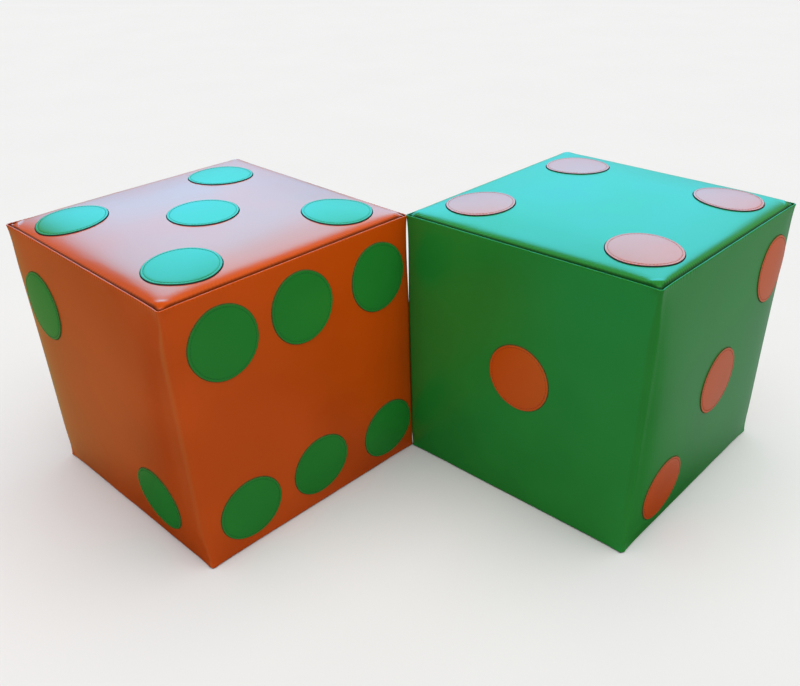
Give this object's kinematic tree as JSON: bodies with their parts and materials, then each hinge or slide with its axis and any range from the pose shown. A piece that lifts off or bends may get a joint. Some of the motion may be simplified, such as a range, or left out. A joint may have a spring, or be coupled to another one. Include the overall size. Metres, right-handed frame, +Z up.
{
  "type": "giant soft play dice",
  "caption": "Pair of giant foam-filled play dice in sewn vinyl covers with contrasting sewn-on pips and a zip low on one side, standing corner to corner.",
  "frame": {"origin": "on the floor plane, midway between the middles of the two dice, where their corners meet", "axes": "+X from the orange die to the green one, +Z up; each die is turned about 45 degrees about Z, so that a corner of one meets a corner of the other"},
  "size_m": [1.1239, 0.5588, 0.416],
  "materials": {
    "orange_vinyl": "satin",
    "green_vinyl": "satin",
    "foam": "matte",
    "zip_tape": "matte",
    "zip_metal": "polished"
  },
  "bodies": {
    "orange_die": {"orange_foam_core": "foam", "orange_side_band": "orange_vinyl", "orange_five_panel": "orange_vinyl", "orange_four_panel": "orange_vinyl", "orange_pip_five_1": "green_vinyl", "orange_pip_five_2": "green_vinyl", "orange_pip_five_3": "green_vinyl", "orange_pip_five_4": "green_vinyl", "orange_pip_five_5": "green_vinyl", "orange_pip_four_1": "green_vinyl", "orange_pip_four_2": "green_vinyl", "orange_pip_four_3": "green_vinyl", "orange_pip_four_4": "green_vinyl", "orange_pip_two_1": "green_vinyl", "orange_pip_two_2": "green_vinyl", "orange_pip_six_1": "green_vinyl", "orange_pip_six_2": "green_vinyl", "orange_pip_six_3": "green_vinyl", "orange_pip_six_4": "green_vinyl", "orange_pip_six_5": "green_vinyl", "orange_pip_six_6": "green_vinyl", "orange_pip_three_1": "green_vinyl", "orange_pip_three_2": "green_vinyl", "orange_pip_three_3": "green_vinyl", "orange_pip_one_1": "green_vinyl", "orange_zip_tape_upper": "zip_tape", "orange_zip_tape_lower": "zip_tape", "orange_zip_stop": "zip_metal"},
    "green_die": {"green_foam_core": "foam", "green_side_band": "green_vinyl", "green_five_panel": "green_vinyl", "green_four_panel": "green_vinyl", "green_pip_five_1": "orange_vinyl", "green_pip_five_2": "orange_vinyl", "green_pip_five_3": "orange_vinyl", "green_pip_five_4": "orange_vinyl", "green_pip_five_5": "orange_vinyl", "green_pip_four_1": "orange_vinyl", "green_pip_four_2": "orange_vinyl", "green_pip_four_3": "orange_vinyl", "green_pip_four_4": "orange_vinyl", "green_pip_two_1": "orange_vinyl", "green_pip_two_2": "orange_vinyl", "green_pip_six_1": "orange_vinyl", "green_pip_six_2": "orange_vinyl", "green_pip_six_3": "orange_vinyl", "green_pip_six_4": "orange_vinyl", "green_pip_six_5": "orange_vinyl", "green_pip_six_6": "orange_vinyl", "green_pip_three_1": "orange_vinyl", "green_pip_three_2": "orange_vinyl", "green_pip_three_3": "orange_vinyl", "green_pip_one_1": "orange_vinyl", "green_zip_tape_upper": "zip_tape", "green_zip_tape_lower": "zip_tape", "green_zip_stop": "zip_metal"},
    "orange_zip_slider": {"orange_zip_slider": "zip_metal"},
    "orange_zip_pull": {"orange_zip_pull": "zip_metal"},
    "green_zip_slider": {"green_zip_slider": "zip_metal"},
    "green_zip_pull": {"green_zip_pull": "zip_metal"}
  },
  "joints": [
    {"name": "green_die_roll", "type": "hinge", "parent": "orange_die", "child": "green_die", "pos_m": [0.42681, -0.14034, 0], "axis": [0.6972, 0.7169, 0], "range_deg": [0, 90]},
    {"name": "orange_zip_slide", "type": "slide", "parent": "orange_die", "child": "orange_zip_slider", "axis": [-0.7133, -0.7009, 0], "range_m": [0, 0.305]},
    {"name": "orange_pull_flip", "type": "hinge", "parent": "orange_zip_slider", "child": "orange_zip_pull", "pos_m": [-0.31413, 0.25332, 0.0128], "axis": [0, 0, -1], "range_deg": [0, 175]},
    {"name": "green_zip_slide", "type": "slide", "parent": "green_die", "child": "green_zip_slider", "axis": [-0.7169, 0.6972, 0], "range_m": [0, 0.305]},
    {"name": "green_pull_flip", "type": "hinge", "parent": "green_zip_slider", "child": "green_zip_pull", "pos_m": [0.53504, 0.03737, 0.0128], "axis": [0, 0, -1], "range_deg": [0, 175]}
  ]
}
